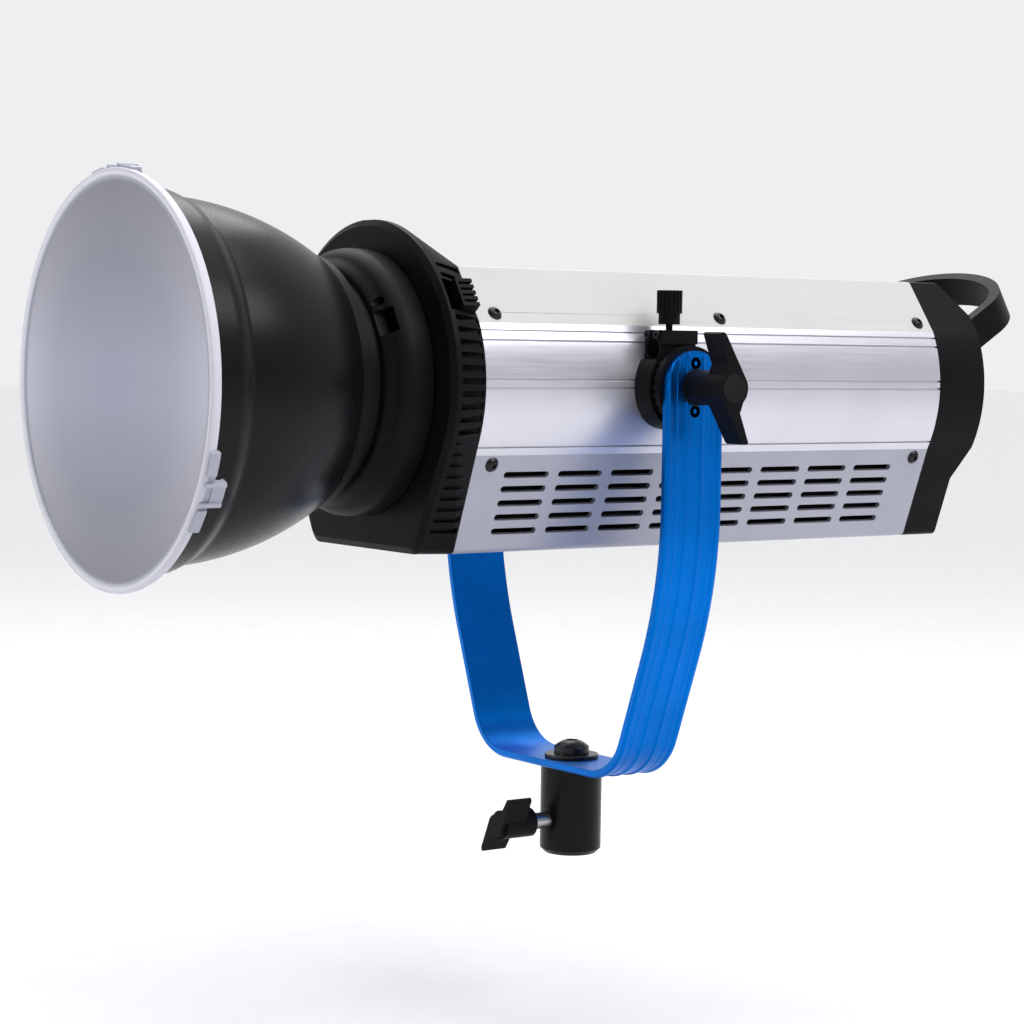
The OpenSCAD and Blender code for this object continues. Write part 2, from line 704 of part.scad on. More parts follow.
module rear_cover() color([0.16, 0.16, 0.17]) at_head() difference() {
    union() {
        intersection() {
            along_y(shell_y1, back_y) polygon(section_pts());
            rear_profile();
        }
        box([-pad_half, rear_y - 1, pad_foot], [pad_half, back_y + pad_proud, pad_head]);
    }
    difference() {
        along_y(shell_y1 - 1, rear_y - rim) polygon(inset_pts(plain_pts(), 10.5));
        for (p = rear_screw_at) translate([p[0], 0, p[1]]) rod_y(4.5, shell_y1 - 2, rear_y, 32);
    }
    box([-41.4, rear_y - rim - 1, -45], [41.4, back_y, 34.4]);
    translate([0, 0, panel_z]) box([-panel_half[0], panel_y0, -panel_half[1]],
        [panel_half[0], back_y + 1, panel_half[1]]);
    both_sides() for (z = handle_bolt_z) translate([handle_bolt_x, 0, z]) {
        rod_y(2, shell_y1 - 1, back_y + 1, 32);
        rod_y(4, shell_y1 - 1, back_y - 8, 32);
    }
    for (p = rear_screw_at) translate([p[0], 0, p[1]]) rod_y(2, back_y - 24, back_y + 1, 32);
}

handle_tilt = 31;
handle_half = 50;
handle_reach = 60.2;
handle_leg = 31.6;
handle_w = 16.4;
handle_t = 6;
handle_root = [rear_y + 3, 19.4];
handle_bolt_x = 53;
handle_bolt_z = [20.5, 29];

// Half angle t of the handle's loop, grown by g.
function loop_pt(t, g) = [(handle_half + g) * cos(t),
    handle_leg + (handle_reach - handle_leg + g) * sin(t)];

module handle_outline(g) polygon(concat([[handle_half + g, -30]],
    [for (i = [0:40]) loop_pt(i * 4.5, g)], [[-handle_half - g, -30]]));

module carry_handle() color([0.13, 0.13, 0.14]) at_head() difference() {
    translate([0, handle_root[0], handle_root[1]]) rotate([handle_tilt, 0, 0])
        translate([0, 0, -handle_w / 2]) linear_extrude(handle_w) difference() {
            handle_outline(handle_t);
            difference() {
                handle_outline(0);
                translate([-100, -60]) square([200, 29]);
            }
            translate([-100, -31]) square([200, 2]);
        }
    box([-100, 0, -60], [100, back_y, 60]);
    both_sides() for (z = handle_bolt_z) translate([handle_bolt_x, 0, z])
        rod_y(2, back_y - 1, back_y + 7, 32);
}

module handle_bolts() color("silver") at_head() both_sides() for (z = handle_bolt_z)
    translate([handle_bolt_x, 0, z]) {
        rod_y(2, back_y - 8, back_y + 7, 32);
        difference() {
            rod_y(3.8, back_y - 11, back_y - 8, 32);
            rod_y(1.6, back_y - 12, back_y - 9.5, 6);
        }
    }

rear_screw_at = [[-52, 6], [52, 6], [-52, -24], [52, -24]];

module rear_screws() color([0.2, 0.2, 0.2]) at_head() for (p = rear_screw_at)
    translate([p[0], back_y, p[1]]) rotate([-90, 0, 0]) {
        translate([0, 0, -24]) cylinder(r = 2, h = 24, $fn = 32);
        difference() {
            rotate_extrude($fn = 48) intersection() {
                translate([0, -1.9]) circle(r = 4, $fn = 64);
                square([screw_head_d / 2, 3]);
            }
            translate([0, 0, 0.9]) cylinder(r = 1.3, h = 3, $fn = 6);
        }
    }

panel_y1 = back_y - 1.5;
panel_y0 = panel_y1 - panel_t;
display_at = [-18, 20];
display_half = [21, 11];
knob_at = [24, 20];
button_at = [[-32, -4], [-18, -4], [-4, -4]];
rocker_at = [27, -28];
rocker_half = [10.5, 7.5];
inlet_at = [-20, -30];
inlet_half = [14, 10];
fuse_at = [7, -30];
post_at = [[-39, 34], [39, 34], [-39, 4], [39, 4]];
board_y = panel_y0 - 10;

module rear_panel() color([0.2, 0.2, 0.21]) at_head() difference() {
    union() {
        translate([0, 0, panel_z]) box([-panel_half[0], panel_y0, -panel_half[1]],
            [panel_half[0], panel_y1, panel_half[1]]);
        for (p = post_at) translate([p[0], 0, p[1] - 2]) rod_y(2.2, board_y, panel_y0 + 0.5, 24);
    }
    translate([knob_at[0], 0, knob_at[1]]) rod_y(3.05, 0, back_y + 5, 48);
    for (p = button_at) translate([p[0], 0, p[1]]) rod_y(4.3, 0, back_y + 5, 48);
    translate([display_at[0], 0, display_at[1]]) box([-display_half[0], panel_y0 - 1,
        -display_half[1]], [display_half[0], back_y, display_half[1]]);
    translate([rocker_at[0], 0, rocker_at[1]]) box([-rocker_half[0], panel_y0 - 1,
        -rocker_half[1]], [rocker_half[0], back_y, rocker_half[1]]);
    translate([inlet_at[0], 0, inlet_at[1]]) box([-inlet_half[0], panel_y0 - 1, -inlet_half[1]],
        [inlet_half[0], back_y, inlet_half[1]]);
    translate([fuse_at[0], 0, fuse_at[1]]) rod_y(5, 0, back_y, 48);
    for (p = panel_screw_at) translate([p[0], 0, p[1]]) rod_y(1.2, panel_y0 - 1, back_y, 24);
}

panel_screw_at = [[-40, -44], [40, -44], [12, 32], [0, -14]];

module panel_screws() color([0.2, 0.2, 0.2]) at_head() for (p = panel_screw_at)
    translate([p[0], 0, p[1]]) {
        rod_y(1.2, panel_y0, panel_y1, 24);
        rod_y(2.3, panel_y1, panel_y1 + 1.2, 32);
    }

module display_window() color([0.05, 0.07, 0.1]) at_head()
    translate([display_at[0], 0, display_at[1]]) box([-display_half[0], panel_y0 + 0.4,
        -display_half[1]], [display_half[0], panel_y1 + 0.5, display_half[1]]);

module control_board() color([0.1, 0.35, 0.18]) at_head()
    box([-41.5, board_y - 1.6, -2], [41.5, board_y, 35]);

module dimmer_knob() color([0.11, 0.11, 0.12]) at_head() translate([knob_at[0], 0, knob_at[1]]) {
    rod_y(3, board_y + 0.2, panel_y1 + 1, 48);
    difference() {
        rod_y(9, panel_y1 + 0.5, back_y + 10, 64);
        for (i = [0:23]) rotate([0, i * 15, 0]) box([8.5, panel_y1 + 2, -0.5], [10, back_y + 11, 0.5]);
        box([-0.5, back_y + 9.4, 2], [0.5, back_y + 11, 7]);
    }
}

module push_button(p) color([0.3, 0.3, 0.32]) at_head() translate([p[0], 0, p[1]]) {
    rod_y(4.2, panel_y0 - 2, back_y + 0.8, 48);
    rod_y(5.2, panel_y0 - 1.7, panel_y0 - 0.1, 48);
}

module button_group() push_button(button_at[0]);

module button_channel() push_button(button_at[1]);

module button_fan() push_button(button_at[2]);

rocker_tilt = 10;

module power_rocker() color([0.7, 0.12, 0.1]) at_head()
    translate([rocker_at[0], panel_y1 - 1, rocker_at[1]]) {
        intersection() {
            rotate([0, 0, rocker_tilt]) box([-7.6, -3, -5.2], [7.6, 2.4, 5.2]);
            box([-8, -4, -6], [8, 4, 6]);
        }
        rod_z(1.2, -6.1, 6.1);
    }

module rod_z(r, z0, z1) translate([0, 0, z0]) cylinder(r = r, h = z1 - z0, $fn = 32);

module rocker_frame() color([0.1, 0.1, 0.1]) at_head()
    translate([rocker_at[0], 0, rocker_at[1]]) difference() {
        union() {
            box([-rocker_half[0], panel_y0 - 12, -rocker_half[1]],
                [rocker_half[0], panel_y1, rocker_half[1]]);
            box([-rocker_half[0] - 1.2, panel_y1, -rocker_half[1] - 1.2],
                [rocker_half[0] + 1.2, panel_y1 + 1.2, rocker_half[1] + 1.2]);
        }
        box([-8.6, panel_y0 - 6, -5.6], [8.6, back_y + 3, 5.6]);
        translate([0, panel_y1 - 1, 0]) rod_z(1.25, -6.4, 6.4);
    }

module power_inlet() color([0.08, 0.08, 0.08]) at_head()
    translate([inlet_at[0], 0, inlet_at[1]]) {
        difference() {
            union() {
                box([-inlet_half[0], panel_y0 - 14, -inlet_half[1]],
                    [inlet_half[0], panel_y1, inlet_half[1]]);
                box([-inlet_half[0] - 1.5, panel_y1, -inlet_half[1] - 1.5],
                    [inlet_half[0] + 1.5, panel_y1 + 1.2, inlet_half[1] + 1.5]);
            }
            box([-12, panel_y0 - 11, -8], [12, back_y + 3, 8]);
        }
        for (p = [[-7, -1.5], [7, -1.5], [0, 2.5]]) translate([p[0], 0, p[1]])
            box([-1, panel_y0 - 12, -2], [1, panel_y1 - 2, 2]);
    }

module fuse_cap() color([0.1, 0.1, 0.1]) at_head() translate([fuse_at[0], 0, fuse_at[1]]) {
    rod_y(5, panel_y0 - 16, panel_y1, 48);
    difference() {
        rod_y(6.4, panel_y1, panel_y1 + 4, 48);
        box([-5, panel_y1 + 2.8, -0.6], [5, panel_y1 + 5, 0.6]);
    }
}

// ---- Reflector and frosted cover: (radius, distance forward of the tilt axis) ----

bowl_back = shell_fore + 56;
band_back = shell_fore + 130;
band_fore = shell_fore + 143;
bead_s = shell_fore + 143.6;
bead_r = 1.5;
band_r = [84, 85.6];
dome_r0 = 59;
dome_r1 = 80.8;
dome_bow = 137;
dome_fore = band_back - 6.5;
chord = [dome_r1 - dome_r0, dome_fore - bowl_back];
chord_half = norm(chord) / 2;
dome_c = [dome_r0, bowl_back] + chord / 2
    + unit([-chord[1], chord[0]]) * sqrt(dome_bow * dome_bow - chord_half * chord_half);
dome_a0 = atan2(bowl_back - dome_c[1], dome_r0 - dome_c[0]);
dome_a1 = atan2(dome_fore - dome_c[1], dome_r1 - dome_c[0]);
tube_r = 44;

// Turns a (radius, forward) drawing about the optical axis.
module turn_y() rotate([90, 0, 0]) rotate_extrude($fn = round_fn * 2) children();

module reflector_bowl() color([0.1, 0.1, 0.105]) at_head() turn_y() {
    polygon(concat(
        [[tube_r, bowl_back]],
        arc_pts(dome_c, dome_bow, dome_a0, dome_a1, 14),
        [[83.2, band_back - 2.6], [band_r[0], band_back], [band_r[1], band_fore],
            [band_r[1] - bowl_wall, band_fore], [band_r[0] - bowl_wall, band_back + 0.4],
            [82, band_back - 1.6]],
        arc_pts(dome_c, dome_bow - bowl_wall, dome_a1, dome_a0 + 0.7, 14),
        [[tube_r, bowl_back + bowl_wall]]));
    translate([band_r[1] + 0.6, bead_s]) circle(r = bead_r, $fn = 32);
    translate([band_r[1] - bowl_wall, band_fore - 0.4]) square([bowl_wall, 1]);
}

skirt_s = shell_fore + 21.5;
neck_s = shell_fore + 45;

module reflector_mount() color([0.12, 0.12, 0.125]) at_head() difference() {
    union() {
        turn_y() polygon(concat(
            [[58, bowl_back], [58, bowl_back - 4.5], [54.6, bowl_back - 5.2],
                [54.6, bowl_back - 6.6], [50.5, bowl_back - 7.4]],
            [[50.5, neck_s - 2.6], [52.3, neck_s - 2.9], [53.4, neck_s - 3.6]],
            arc_pts([50.7, shell_fore + 29], 10.5, 58, 0, 10),
            [[flange_r, skirt_s], [flange_r - 1.8, skirt_s], [flange_r - 2, shell_fore + 29],
                [57.4, shell_fore + 34], [54, shell_fore + 36.4], [46.4, shell_fore + 36.4],
                [46.4, lug_s - 3], [tube_r, lug_s - 3], [tube_r, bowl_back]]));
        intersection() {
            rod_y(lug_r, lug_y0, lug_y0 + lug_t);
            rotate([0, -lug_offset, 0]) wedge_y(60, lug_deg, lug_y0 - 1, lug_y0 + 4);
            ring_y(60, 45, lug_y0 - 1, lug_y0 + 4);
        }
    }
    rotate([0, -41, 0]) translate([55.5, 0, 0]) rod_y(2.2, -neck_s - 5, -shell_fore - 30, 32);
    rotate([0, -30, 0]) box([52.5, -neck_s - 5, -6], [59, -shell_fore - 34, 6]);
}

lug_s = -lug_y0;
cover_t = 2;
cover_s = shell_fore + cover_fore;

// Piece of the frosted cover's edge that reaches back over the bead, r1 and r0 inside its rim.
module tab(half, len, r1, r0) intersection() {
    ring_y(cover_r - r1, cover_r - r0, 3 - cover_s, len - cover_s);
    along_y(-cover_s, len + 1 - cover_s)
        polygon([[0, 0], 120 * [cos(half), -sin(half)], 120 * [cos(half), sin(half)]]);
}

module frosted_cover() color([0.85, 0.86, 0.9, 0.6]) at_head() {
    turn_y() polygon([[0, cover_s - 3], [cover_r - 3.6, cover_s - 3],
        [cover_r - 3, cover_s - cover_t - 3], [cover_r - 1.2, cover_s - cover_t - 3],
        [cover_r, cover_s - 2.4], [cover_r, cover_s - 0.8], [cover_r - 0.8, cover_s],
        [cover_r - 2.6, cover_s], [cover_r - 4.4, cover_s - 1.2], [0, cover_s - 1.2]]);
    for (a = [91, 211, 331]) rotate([0, -a, 0]) {
        tab(12, 6.5, -1.2, 2.7);
        tab(3.5, 12, -1.8, 2.5);
    }
}

yoke();
yoke_screws();
yoke_rosette();
far_pivot_ring();
stand_socket();
socket_bolt();
socket_washer();
clamp_wing();
clamp_stud();
tilt_lever();
tilt_lever_cap();
lever_washer();
umbrella_bracket();
bracket_screws();
umbrella_thumbscrew();
far_pivot_boss();
axle_near();
axle_far();
pivot_plates();
side_near();
side_far();
top_cover();
bottom_cover();
shell_screws();
front_bezel();
bayonet_ring();
ring_screws();
latch_button();
latch_pin();
led_mount();
led_board();
led_emitter();
led_glass();
heat_sink();
heat_pipes();
fan_frame();
fan_rotor();
driver_board();
driver_parts();
chassis_tray();
rear_cover();
rear_screws();
rear_panel();
panel_screws();
display_window();
control_board();
dimmer_knob();
button_group();
button_channel();
button_fan();
power_rocker();
rocker_frame();
power_inlet();
fuse_cap();
carry_handle();
handle_bolts();
reflector_bowl();
reflector_mount();
frosted_cover();
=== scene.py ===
import json
import math

import bmesh
import bpy
from mathutils import Matrix, Vector


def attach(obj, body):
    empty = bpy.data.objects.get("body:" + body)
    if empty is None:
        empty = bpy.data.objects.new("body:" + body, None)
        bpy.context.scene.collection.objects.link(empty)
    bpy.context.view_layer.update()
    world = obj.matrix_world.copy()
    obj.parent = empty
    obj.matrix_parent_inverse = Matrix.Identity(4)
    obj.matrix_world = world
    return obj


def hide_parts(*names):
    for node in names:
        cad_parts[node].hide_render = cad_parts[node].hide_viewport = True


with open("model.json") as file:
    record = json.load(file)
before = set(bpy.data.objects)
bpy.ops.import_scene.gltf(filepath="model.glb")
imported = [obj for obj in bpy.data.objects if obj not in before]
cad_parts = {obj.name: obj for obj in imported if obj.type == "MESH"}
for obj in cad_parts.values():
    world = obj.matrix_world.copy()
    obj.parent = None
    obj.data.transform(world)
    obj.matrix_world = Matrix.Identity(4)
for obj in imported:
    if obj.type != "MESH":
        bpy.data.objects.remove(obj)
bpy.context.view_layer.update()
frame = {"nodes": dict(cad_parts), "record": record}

MM = 0.001
PIVOT_Z = 0.230
COVER_R = 0.0915
MOTTLE = 28
NOISE_LOW, NOISE_HIGH = 0.3, 0.7
NODES = frame["nodes"]

# ---- Materials ----


class Shader:
    """A Principled material whose colour, roughness and bump come from noise in object space."""

    def __init__(self, name):
        self.mat = bpy.data.materials.new(name)
        self.mat.use_nodes = True
        self.tree = self.mat.node_tree
        self.bsdf = next(n for n in self.tree.nodes if n.type == "BSDF_PRINCIPLED")
        self.coord = self.tree.nodes.new("ShaderNodeTexCoord")

    def link(self, a, b):
        self.tree.links.new(a, b)

    def noise(self, scale, detail=3.0, stretch=(1, 1, 1)):
        mapping = self.tree.nodes.new("ShaderNodeMapping")
        mapping.inputs["Scale"].default_value = [scale * k for k in stretch]
        self.link(self.coord.outputs["Object"], mapping.inputs["Vector"])
        n = self.tree.nodes.new("ShaderNodeTexNoise")
        n.inputs["Scale"].default_value = 1.0
        n.inputs["Detail"].default_value = detail
        self.link(mapping.outputs["Vector"], n.inputs["Vector"])
        return n.outputs["Fac"]

    def ramp(self, fac, low, high, a=0.35, b=0.65):
        r = self.tree.nodes.new("ShaderNodeValToRGB")
        r.color_ramp.elements[0].position, r.color_ramp.elements[0].color = a, (*low, 1)
        r.color_ramp.elements[1].position, r.color_ramp.elements[1].color = b, (*high, 1)
        self.link(fac, r.inputs["Fac"])
        return r.outputs["Color"]

    def remap(self, fac, from_low, from_high, low, high):
        m = self.tree.nodes.new("ShaderNodeMapRange")
        m.inputs["From Min"].default_value, m.inputs["From Max"].default_value = from_low, from_high
        m.inputs["To Min"].default_value, m.inputs["To Max"].default_value = low, high
        self.link(fac, m.inputs["Value"])
        return m.outputs["Result"]

    def bump(self, fac, strength, depth_mm):
        b = self.tree.nodes.new("ShaderNodeBump")
        b.inputs["Strength"].default_value = strength
        b.inputs["Distance"].default_value = depth_mm * MM
        self.link(fac, b.inputs["Height"])
        self.link(b.outputs["Normal"], self.bsdf.inputs["Normal"])


def make(name, base, rough, metal=0.0, vary=0.08, grain=900, grain_mm=0.04, strength=0.35,
         stretch=(1, 1, 1), rough_span=0.06, **sockets):
    """A surface of one colour, mottled by vary, with a grain this many cycles to the metre."""
    s = Shader(name)
    darker, lighter = [c * (1 - vary) for c in base], [c * (1 + vary) for c in base]
    s.link(s.ramp(s.noise(MOTTLE, 4), darker, lighter), s.bsdf.inputs["Base Color"])
    fine = s.noise(grain, 4, stretch)
    s.link(s.remap(fine, NOISE_LOW, NOISE_HIGH, rough - rough_span, rough + rough_span),
           s.bsdf.inputs["Roughness"])
    s.bump(fine, strength, grain_mm)
    s.bsdf.inputs["Metallic"].default_value = metal
    for key, value in sockets.items():
        s.bsdf.inputs[key.replace("_", " ")].default_value = value
    return s.mat


ALONG = (1, 0.02, 1)
ALONG_Z = (1, 1, 0.03)
DULL = {"Specular_IOR_Level": 0.07}
MATS = {
    "blue_anodised": make("blue_anodised", (0.001, 0.15, 0.58), 0.38, 1.0, 0.07, 1400, 0.02, 0.35,
                          ALONG_Z),
    "black_cast": make("black_cast", (0.0048, 0.0046, 0.0058), 0.46, 0.0, 0.25, 1500, 0.06, 0.5,
                       **DULL),
    "black_paint": make("black_paint", (0.0035, 0.0034, 0.004), 0.29, 0.0, 0.2, 1700, 0.03, 0.35,
                        Specular_IOR_Level=0.14),
    "black_plastic": make("black_plastic", (0.0048, 0.0046, 0.0058), 0.44, 0.0, 0.2, 1300, 0.05,
                          0.45, **DULL),
    "silver_anodised": make("silver_anodised", (0.63, 0.63, 0.69), 0.34, 0.78, 0.03, 1500, 0.04,
                            0.5, ALONG),
    "cream_paint": make("cream_paint", (0.47, 0.463, 0.455), 0.45, 0.0, 0.02, 1600, 0.015, 0.25),
    "grey_paint": make("grey_paint", (0.36, 0.365, 0.43), 0.38, 0.55, 0.03, 1500, 0.03, 0.45),
    "steel": make("steel", (0.42, 0.42, 0.44), 0.3, 1.0, 0.06, 700, 0.01, 0.3, ALONG),
    "black_steel": make("black_steel", (0.012, 0.012, 0.014), 0.3, 0.5, 0.15, 900, 0.02, 0.3),
    "bare_aluminium": make("bare_aluminium", (0.60, 0.61, 0.63), 0.33, 1.0, 0.05, 800, 0.02,
                           0.3, ALONG),
    "copper": make("copper", (0.62, 0.28, 0.14), 0.3, 1.0, 0.1, 600, 0.01, 0.3),
    "phosphor": make("phosphor", (0.80, 0.56, 0.08), 0.6, 0.0, 0.08, 2200, 0.03, 0.5),
    "board": make("board", (0.01, 0.09, 0.03), 0.4, 0.0, 0.2, 500, 0.03, 0.4),
    "parts": make("parts", (0.04, 0.04, 0.06), 0.45, 0.0, 0.2, 700, 0.03, 0.4),
    "dark_window": make("dark_window", (0.006, 0.007, 0.012), 0.12, 0.0, 0.2, 60, 0.005, 0.1,
                        rough_span=0.03),
    "red_plastic": make("red_plastic", (0.38, 0.012, 0.008), 0.28, 0.0, 0.08, 900, 0.015, 0.25),
    "grey_plastic": make("grey_plastic", (0.012, 0.012, 0.014), 0.42, 0.0, 0.12, 1200, 0.04, 0.4,
                         **DULL),
    "frosted": make("frosted", (0.50, 0.51, 0.60), 0.5, 0.0, 0.02, 1900, 0.02, 0.3,
                    Specular_IOR_Level=0.35, Transmission_Weight=0.3),
    "clear_glass": make("clear_glass", (0.9, 0.94, 0.96), 0.05, 0.0, 0.02, 40, 0.002, 0.05,
                        rough_span=0.02, Transmission_Weight=0.9),
}


def frost():
    """Thin frosted plastic with painted light: painted shade in the middle and towards top and
    bottom, paler out to the rim, with a painted highlight ring on the rim lip.
    """
    s = Shader("frosted_sheet_painted_light")
    shift = s.tree.nodes.new("ShaderNodeMapping")
    shift.inputs["Location"].default_value = (0, 0, -PIVOT_Z / COVER_R)
    shift.inputs["Scale"].default_value = (1 / COVER_R, 0, 1 / COVER_R)
    s.link(s.coord.outputs["Object"], shift.inputs["Vector"])
    radius = s.tree.nodes.new("ShaderNodeVectorMath")
    radius.operation = "LENGTH"
    s.link(shift.outputs["Vector"], radius.inputs[0])
    # Painted light across the disc: darker in the middle, paler out to the rim, and a painted
    # highlight ring on the rim lip.
    ramp = s.tree.nodes.new("ShaderNodeValToRGB")
    stops = ramp.color_ramp.elements
    stops[0].position, stops[0].color = 0.15, (0.37, 0.39, 0.49, 1)
    stops[1].position, stops[1].color = 0.93, (0.55, 0.55, 0.64, 1)
    for at, colour in ((0.6, (0.41, 0.425, 0.52, 1)), (0.955, (0.43, 0.44, 0.52, 1)),
                       (0.975, (0.86, 0.86, 0.92, 1)), (0.99, (0.66, 0.66, 0.74, 1))):
        stops.new(at).color = colour
    s.link(radius.outputs["Value"], ramp.inputs["Fac"])
    # Painted shade: darker towards the top and bottom of the disc, where the side light falls less;
    # the rim is left out.
    height = s.tree.nodes.new("ShaderNodeSeparateXYZ")
    s.link(shift.outputs["Vector"], height.inputs[0])
    away = s.tree.nodes.new("ShaderNodeMath")
    away.operation = "ABSOLUTE"
    s.link(height.outputs["Z"], away.inputs[0])
    painted_shade = s.remap(away.outputs[0], 0.1, 0.95, 0.0, 0.52)
    sheet = s.remap(radius.outputs["Value"], 0.935, 0.955, 1.0, 0.0)
    painted_shade_amount = s.tree.nodes.new("ShaderNodeMath")
    painted_shade_amount.operation = "MULTIPLY"
    s.link(painted_shade, painted_shade_amount.inputs[0])
    s.link(sheet, painted_shade_amount.inputs[1])
    painted_light_colour = s.tree.nodes.new("ShaderNodeVectorMath")
    painted_light_colour.operation = "SCALE"
    s.link(ramp.outputs["Color"], painted_light_colour.inputs[0])
    s.link(s.remap(painted_shade_amount.outputs[0], 0.0, 1.0, 1.0, 0.0), painted_light_colour.inputs["Scale"])
    s.link(painted_light_colour.outputs["Vector"], s.bsdf.inputs["Base Color"])
    fine = s.noise(1700, 4)
    s.link(s.remap(fine, NOISE_LOW, NOISE_HIGH, 0.42, 0.56), s.bsdf.inputs["Roughness"])
    s.bump(fine, 0.35, 0.025)
    s.bsdf.inputs["Transmission Weight"].default_value = 0.2
    s.bsdf.inputs["Specular IOR Level"].default_value = 0.4
    return s.mat


# The frosted disc's material, with painted shade and a painted highlight in its colour.
FROST_PAINTED_LIGHT = frost()

# ---- CAD nodes: welded, edges broken by a fine bevel, shaded smooth below SMOOTH_BELOW ----

SMOOTH_BELOW = 32
BEVEL_ABOVE = 35
FINE_BEVEL = 0.15


def smooth_group(angle):
    g = bpy.data.node_groups.new(f"smooth_{angle}", "GeometryNodeTree")
    g.interface.new_socket("Geometry", in_out="INPUT", socket_type="NodeSocketGeometry")
    g.interface.new_socket("Geometry", in_out="OUTPUT", socket_type="NodeSocketGeometry")
    new, link = g.nodes.new, g.links.new
    start, end = new("NodeGroupInput"), new("NodeGroupOutput")
    drop = new("GeometryNodeRemoveAttribute")
    drop.inputs["Name"].default_value = "custom_normal"
    faces = new("GeometryNodeSetShadeSmooth")
    edges = new("GeometryNodeSetShadeSmooth")
    edges.domain = "EDGE"
    edges.inputs["Shade Smooth"].default_value = False
    bend = new("GeometryNodeInputMeshEdgeAngle")
    over = new("FunctionNodeCompare")
    over.inputs[1].default_value = math.radians(angle)
    link(start.outputs[0], drop.inputs["Geometry"])
    link(drop.outputs["Geometry"], faces.inputs[0])
    link(faces.outputs[0], edges.inputs[0])
    link(bend.outputs["Unsigned Angle"], over.inputs[0])
    link(over.outputs[0], edges.inputs["Selection"])
    link(edges.outputs[0], end.inputs[0])
    return g


SMOOTH = smooth_group(SMOOTH_BELOW)


def finish_edges(obj, width, segments=2):
    weld = obj.modifiers.new("weld", "WELD")
    weld.merge_threshold = 1e-6
    if width:
        bevel = obj.modifiers.new("bevel", "BEVEL")
        bevel.width, bevel.segments = width * MM, segments
        bevel.limit_method, bevel.angle_limit = "ANGLE", math.radians(BEVEL_ABOVE)
        bevel.use_clamp_overlap = True
    obj.modifiers.new("smooth", "NODES").node_group = SMOOTH
    flatten = obj.modifiers.new("flatten", "WEIGHTED_NORMAL")
    flatten.keep_sharp = True


def paint(obj, mat):
    if not obj.material_slots:
        obj.data.materials.append(mat)
    for entry in obj.material_slots:
        entry.material = mat


BEVEL = {"carry_handle": 1.3, "tilt_lever": 0.9, "clamp_wing": 0.8, "far_pivot_boss": 0.5,
         "stand_socket": 0.5, "rear_cover": 0.5, "umbrella_bracket": 0.35, "latch_button": 0.3,
         "reflector_mount": 0.4, "socket_washer": 0.3, "dimmer_knob": 0.25, "power_rocker": 0.4,
         "front_bezel": 0.3, "umbrella_thumbscrew": 0.2, "bayonet_ring": 0.25, "fuse_cap": 0.3}
# Fine teeth, many slots or a piece of its own: no bevel.
PLAIN = {"yoke_rosette", "far_pivot_ring", "bottom_cover", "heat_sink", "fan_rotor", "yoke"}

slot_of = {row["node"]: row["material_slot"] for row in frame["record"]["subparts"]}
for name, obj in NODES.items():
    paint(obj, MATS[slot_of[name]])
    finish_edges(obj, 0 if name in PLAIN else BEVEL.get(name, FINE_BEVEL))

# ---- New pieces ----


def piece(name, verts, faces, slot, body, *nodes, smooth=True, mat=None):
    mesh = bpy.data.meshes.new(name)
    mesh.from_pydata(verts, [], faces)
    bm = bmesh.new()
    bm.from_mesh(mesh)
    bmesh.ops.remove_doubles(bm, verts=bm.verts, dist=1e-6)
    bmesh.ops.recalc_face_normals(bm, faces=bm.faces)
    bm.to_mesh(mesh)
    bm.free()
    obj = bpy.data.objects.new(name, mesh)
    bpy.context.scene.collection.objects.link(obj)
    mesh.materials.append(mat or MATS[slot])
    if smooth:
        obj.modifiers.new("smooth", "NODES").node_group = SMOOTH
    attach(obj, body)
    if nodes:
        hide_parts(*nodes)
    return obj


def grid_faces(rows, cols, close_rows=False, close_cols=False):
    out = []
    for i in range(rows if close_rows else rows - 1):
        for j in range(cols if close_cols else cols - 1):
            a, b = i * cols + j, i * cols + (j + 1) % cols
            c, d = ((i + 1) % rows) * cols + (j + 1) % cols, ((i + 1) % rows) * cols + j
            out.append((a, b, c, d))
    return out


def on_axis(r, s, a):
    """The point at radius r and distance forward s, in mm, at angle a round the optical axis."""
    return r * MM * math.cos(a), -s * MM, PIVOT_Z + r * MM * math.sin(a)


def lathe(name, profile, slot, body, *nodes, steps=256, mat=None):
    """Turns a closed (radius, distance forward) profile about the optical axis."""
    verts = []
    for i in range(steps):
        verts += [on_axis(r, s, 2 * math.pi * i / steps) for r, s in profile]
    faces = grid_faces(steps, len(profile), True, True)
    piece(name, verts, faces, slot, body, *nodes, mat=mat)


def arc(c, r, a0, a1, n):
    return [(c[0] + r * math.cos(math.radians(a0 + (a1 - a0) * i / n)),
             c[1] + r * math.sin(math.radians(a0 + (a1 - a0) * i / n))) for i in range(n + 1)]


# Yoke: a ribbed strap swept along its path, with round ends.
TILT_Z = 230.0
HALF, STRAP_T, STRAP_W, BASE_Z = 90.0, 3.2, 33.4, 43.5
CORNER_R, BOW_R, BOW_DROP = 28.0, 210.0, 53.5
BEND_STEPS, ACROSS = 24, 96
EDGE_ROUND, EDGE_FROM, EDGE_BAND = 0.35, 0.985, 0.015
corner_c = (35.0, BASE_Z + CORNER_R)
bow_c = (HALF - BOW_R, TILT_Z - BOW_DROP)
gap = (bow_c[0] - corner_c[0], bow_c[1] - corner_c[1])
tangent = math.degrees(math.atan2(gap[1], gap[0])
                       - math.acos((CORNER_R - BOW_R) / math.hypot(*gap)))


